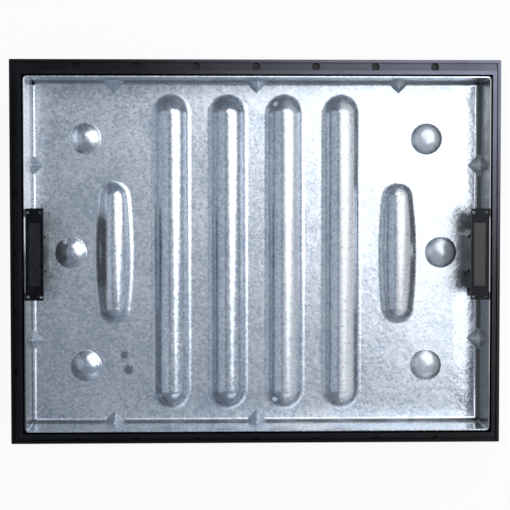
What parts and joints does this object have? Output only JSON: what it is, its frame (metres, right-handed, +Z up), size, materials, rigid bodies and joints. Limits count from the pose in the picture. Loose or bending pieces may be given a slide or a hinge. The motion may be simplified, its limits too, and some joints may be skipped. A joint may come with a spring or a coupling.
{
  "type": "recessed paving cover",
  "caption": "Recessed paving cover: a pressed galvanised steel tray with ribs and lifting-key housings, resting in a low black plastic frame.",
  "frame": {"origin": "middle of the frame's base, on the plane that the frame stands on", "axes": "+X along the long side towards the right-hand key housing as pictured, +Y along the short side towards the top of the picture, +Z up, out of the tray"},
  "size_m": [0.69, 0.54, 0.097],
  "materials": {
    "frame_plastic": "moulded black polypropylene, satin, dusty",
    "seal_rubber": "black cellular rubber strip",
    "galvanised_steel": "hot-dip galvanised, bright, scratched and a little stained",
    "housing_plastic": "moulded black polypropylene, finely grained",
    "bracket_steel": "zinc plated",
    "cap_plastic": "moulded plastic, scuffed grey",
    "rivet_metal": "bright"
  },
  "bodies": {
    "root": {"frame": "frame_plastic", "seal": "seal_rubber", "tray": "galvanised_steel", "key_housing_left": "housing_plastic", "key_housing_right": "housing_plastic", "key_plate_left": "bracket_steel", "key_plate_right": "bracket_steel", "key_cap_left": "cap_plastic", "key_cap_right": "cap_plastic", "housing_rivets": "rivet_metal"}
  },
  "joints": []
}
